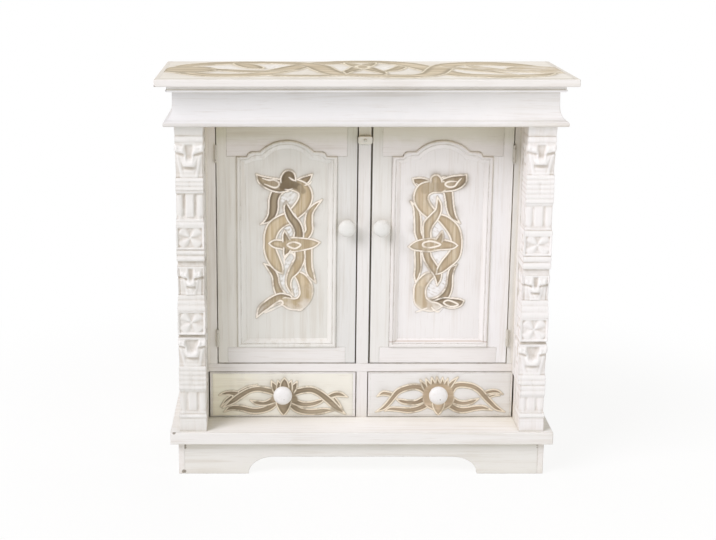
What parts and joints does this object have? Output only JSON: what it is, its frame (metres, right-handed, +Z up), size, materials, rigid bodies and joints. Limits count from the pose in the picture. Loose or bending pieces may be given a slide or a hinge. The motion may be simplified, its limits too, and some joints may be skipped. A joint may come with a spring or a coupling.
{
  "type": "carved cabinet",
  "caption": "Free-standing whitewashed wooden cabinet: panelled doors with arched carved fields over drawers, between carved square posts, under a flared cornice.",
  "frame": {"origin": "on the floor, under the middle of the top board", "axes": "+X to the right, -Y towards the front of the cabinet, +Z up"},
  "size_m": [0.9, 0.38, 0.9],
  "materials": {
    "whitewashed_wood": "distressed whitewash, matt",
    "carved_wood": "carved scrollwork with cream outlines on tan wood, matt",
    "bare_wood": "unfinished, matt",
    "knob_wood": "rubbed whitewash, satin",
    "latch_wood": "worn, matt",
    "iron": "dark, partly painted over",
    "steel": "dull"
  },
  "bodies": {
    "root": {"back_boards": "bare_wood", "base_board": "whitewashed_wood", "bed_moulding": "whitewashed_wood", "carcass_top": "bare_wood", "cupboard_floor": "bare_wood", "drawer_divider": "whitewashed_wood", "drawer_guides": "bare_wood", "face_stiles": "whitewashed_wood", "flare_moulding": "whitewashed_wood", "frame_hinge_leaves": "iron", "frame_hinge_screws": "steel", "frieze_front": "whitewashed_wood", "frieze_sides": "whitewashed_wood", "glue_blocks": "bare_wood", "hinge_pins": "iron", "left_post": "whitewashed_wood", "left_side_frame": "whitewashed_wood", "left_side_panel": "whitewashed_wood", "mid_rail": "whitewashed_wood", "mullion": "whitewashed_wood", "right_post": "whitewashed_wood", "right_side_frame": "whitewashed_wood", "right_side_panel": "whitewashed_wood", "shelf": "bare_wood", "shelf_cleats": "bare_wood", "skirt_back": "bare_wood", "skirt_front": "whitewashed_wood", "skirt_sides": "whitewashed_wood", "top_board": "whitewashed_wood", "top_rail": "whitewashed_wood", "turn_button_screw": "steel"},
    "left_door": {"left_door_bottom_rail": "whitewashed_wood", "left_door_hinge_leaves": "iron", "left_door_hinge_screws": "steel", "left_door_hinge_stile": "whitewashed_wood", "left_door_knob": "knob_wood", "left_door_lock_stile": "whitewashed_wood", "left_door_moulding": "whitewashed_wood", "left_door_panel": "carved_wood", "left_door_top_rail": "whitewashed_wood"},
    "right_door": {"right_door_bottom_rail": "whitewashed_wood", "right_door_hinge_leaves": "iron", "right_door_hinge_screws": "steel", "right_door_hinge_stile": "whitewashed_wood", "right_door_knob": "knob_wood", "right_door_lock_stile": "whitewashed_wood", "right_door_moulding": "whitewashed_wood", "right_door_panel": "carved_wood", "right_door_top_rail": "whitewashed_wood"},
    "left_drawer": {"left_drawer_back": "bare_wood", "left_drawer_bottom": "bare_wood", "left_drawer_front": "carved_wood", "left_drawer_knob": "knob_wood", "left_drawer_sides": "bare_wood"},
    "right_drawer": {"right_drawer_back": "bare_wood", "right_drawer_bottom": "bare_wood", "right_drawer_front": "carved_wood", "right_drawer_knob": "knob_wood", "right_drawer_sides": "bare_wood"},
    "turn_button": {"turn_button": "latch_wood"}
  },
  "joints": [
    {"name": "left_door_hinge", "type": "hinge", "parent": "root", "child": "left_door", "pos_m": [-0.3265, -0.0693, 0.5], "axis": [0, 0, -1], "range_deg": [0, 95]},
    {"name": "right_door_hinge", "type": "hinge", "parent": "root", "child": "right_door", "pos_m": [0.3355, -0.0693, 0.5], "axis": [0, 0, 1], "range_deg": [0, 95]},
    {"name": "left_drawer_slide", "type": "slide", "parent": "root", "child": "left_drawer", "axis": [0, -1, 0], "range_m": [0, 0.18]},
    {"name": "right_drawer_slide", "type": "slide", "parent": "root", "child": "right_drawer", "axis": [0, -1, 0], "range_m": [0, 0.18]},
    {"name": "turn_button_pivot", "type": "hinge", "parent": "root", "child": "turn_button", "pos_m": [0.0045, -0.0703, 0.753], "axis": [0, -1, 0], "continuous": true}
  ]
}
